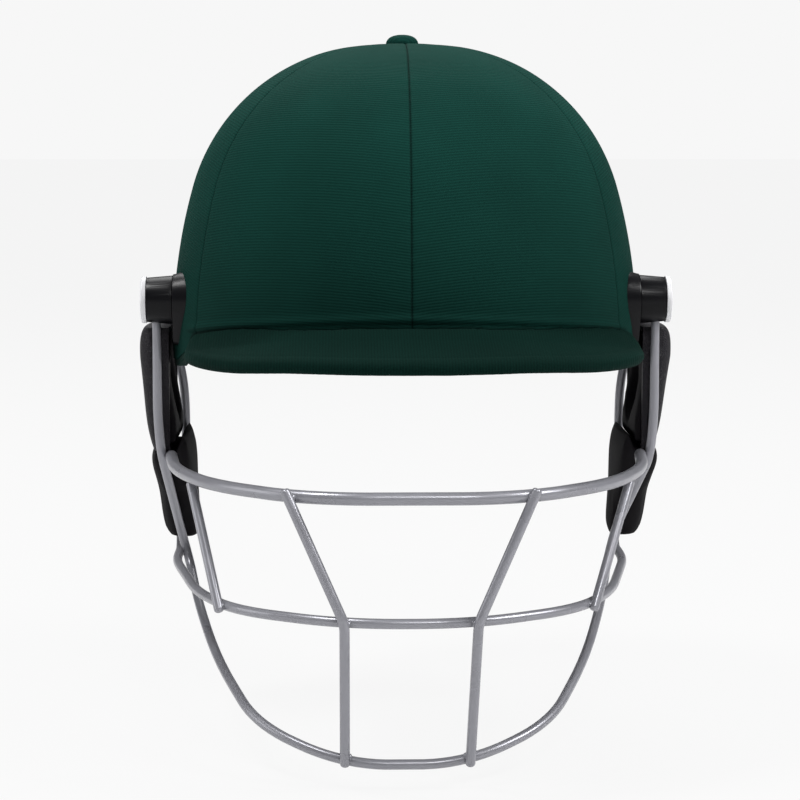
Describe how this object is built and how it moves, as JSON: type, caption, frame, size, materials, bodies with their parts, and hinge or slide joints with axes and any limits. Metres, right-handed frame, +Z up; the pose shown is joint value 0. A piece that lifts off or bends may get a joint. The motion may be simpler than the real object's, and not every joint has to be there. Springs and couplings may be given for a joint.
{
  "type": "cricket helmet",
  "caption": "Cloth-covered cricket helmet with a stitched dome, wrapped peak, black ear guards and a silver-grey wire face grille that tilts on side bolts.",
  "frame": {"origin": "middle of the head opening, level with the line where the peak leaves the dome, under the crown button", "axes": "+X to the wearer's left, -Y forward over the peak, +Z up"},
  "size_m": [0.2602, 0.3092, 0.3222],
  "materials": {
    "green_cloth": "ribbed bottle-green cloth",
    "edge_binding": "dark bound edge",
    "moulded_shell": "moulded reinforced plastic, matt",
    "liner_foam": "closed-cell foam",
    "comfort_cloth": "soft knitted lining",
    "grille_paint": "silver-grey painted steel wire",
    "plated_steel": "plated",
    "cap_plastic": "light grey, matt",
    "black_plastic": "black, satin",
    "grained_plastic": "black, leather-grained",
    "pad_leather": "soft black leathercloth over foam",
    "strap_webbing": "woven webbing"
  },
  "bodies": {
    "shell": {"brow_pad": "comfort_cloth", "chin_strap_left": "strap_webbing", "chin_strap_right": "strap_webbing", "cover_panel_front_left": "green_cloth", "cover_panel_front_right": "green_cloth", "cover_panel_rear_left": "green_cloth", "cover_panel_rear_right": "green_cloth", "cover_panel_side_left": "green_cloth", "cover_panel_side_right": "green_cloth", "crown_button": "green_cloth", "crown_pad": "comfort_cloth", "fixing_bolt_left": "plated_steel", "fixing_bolt_right": "plated_steel", "fixing_cap_left": "cap_plastic", "fixing_cap_right": "cap_plastic", "fixing_nut_left": "plated_steel", "fixing_nut_right": "plated_steel", "foam_liner": "liner_foam", "nape_pad": "comfort_cloth", "outer_shell": "moulded_shell", "peak_core": "moulded_shell", "peak_cover": "green_cloth", "rim_binding": "edge_binding", "side_flange_left": "black_plastic", "side_flange_right": "black_plastic", "side_pad_left": "comfort_cloth", "side_pad_right": "comfort_cloth", "strap_rivet_left": "plated_steel", "strap_rivet_right": "plated_steel", "strap_slider": "black_plastic"},
    "grille": {"ear_guard_shell_left": "grained_plastic", "ear_guard_shell_right": "grained_plastic", "ear_pad_left": "pad_leather", "ear_pad_right": "pad_leather", "fixing_boss_left": "black_plastic", "fixing_boss_right": "black_plastic", "grille_frame_wire": "grille_paint", "grille_mid_bar": "grille_paint", "grille_top_bar": "grille_paint", "grille_upright_front_left": "grille_paint", "grille_upright_front_right": "grille_paint", "grille_upright_side_left": "grille_paint", "grille_upright_side_right": "grille_paint", "guard_tab_left": "plated_steel", "guard_tab_right": "plated_steel", "jaw_pad_left": "pad_leather", "jaw_pad_right": "pad_leather"}
  },
  "joints": [
    {"name": "grille_tilt", "type": "hinge", "parent": "shell", "child": "grille", "pos_m": [0, -0.03, 0.0055], "axis": [-1, 0, 0], "range_deg": [-4, 14]}
  ]
}
